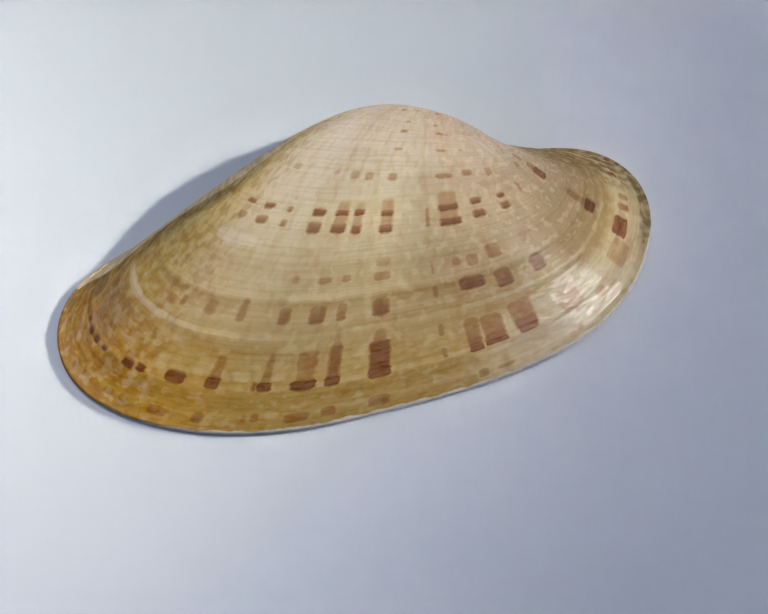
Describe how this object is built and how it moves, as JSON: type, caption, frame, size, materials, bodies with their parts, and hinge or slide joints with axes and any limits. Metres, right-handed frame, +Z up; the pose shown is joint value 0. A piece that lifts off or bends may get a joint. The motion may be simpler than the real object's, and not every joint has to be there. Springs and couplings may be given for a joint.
{
  "type": "clam shell valve",
  "caption": "One half of a long, glossy clam shell with a low off-centre beak, growth ridges and broken brown rays, lying hollow side down on its rim.",
  "frame": {"origin": "middle of the valve's box, on the flat rim plane it rests on", "axes": "+X along the hinge axis towards the short front end, +Y towards the hinge side, +Z up, out of the bulging side"},
  "size_m": [0.1104, 0.0596, 0.0159],
  "materials": {
    "shell": "glossy tan shell with cream growth bands and broken red-brown rays, pale rim and white inner face"
  },
  "bodies": {
    "root": {"valve": "shell"}
  },
  "joints": []
}
